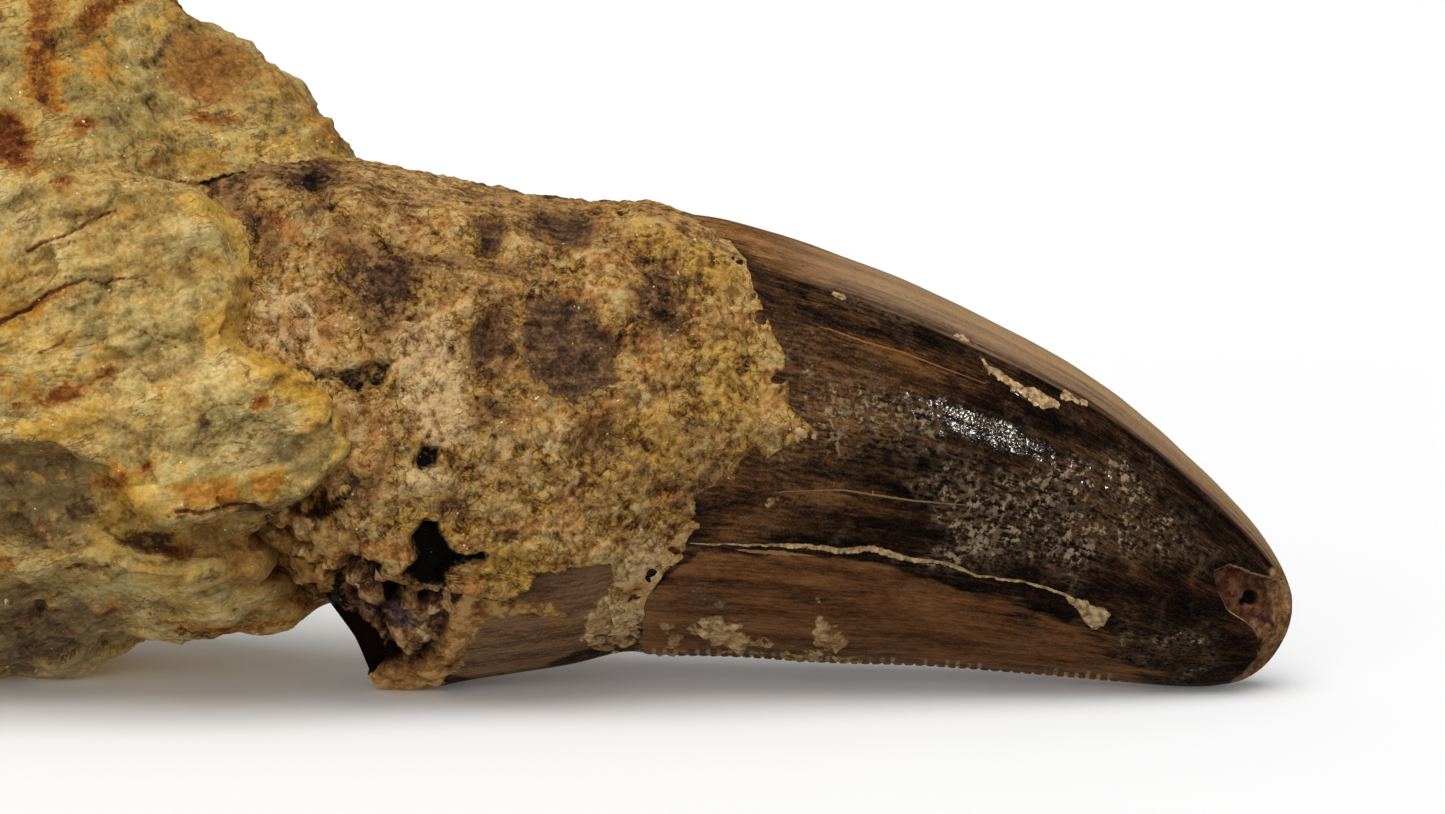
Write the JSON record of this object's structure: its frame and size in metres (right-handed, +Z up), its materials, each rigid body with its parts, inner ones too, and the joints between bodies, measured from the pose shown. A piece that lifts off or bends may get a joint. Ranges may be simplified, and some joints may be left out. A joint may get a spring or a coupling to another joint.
{
  "type": "fossil dinosaur tooth in sandstone matrix",
  "caption": "Fossil theropod tooth with a serrated keel, lying on its side with its root set in a lump of sandstone and sand crusted round the base of its crown.",
  "frame": {"origin": "on the flat face that the lump of rock rests on, under the tooth's mid-plane", "axes": "+X from the rock to the tooth's tip, +Y across the tooth's thickness to the back, +Z up from the resting face"},
  "size_m": [0.0961, 0.0302, 0.0434],
  "materials": {
    "tooth_enamel": "satin",
    "sand_crust": "matte",
    "sandstone": "matte"
  },
  "bodies": {
    "root": {"tooth": "tooth_enamel", "crust": "sand_crust", "rock": "sandstone"}
  },
  "joints": []
}
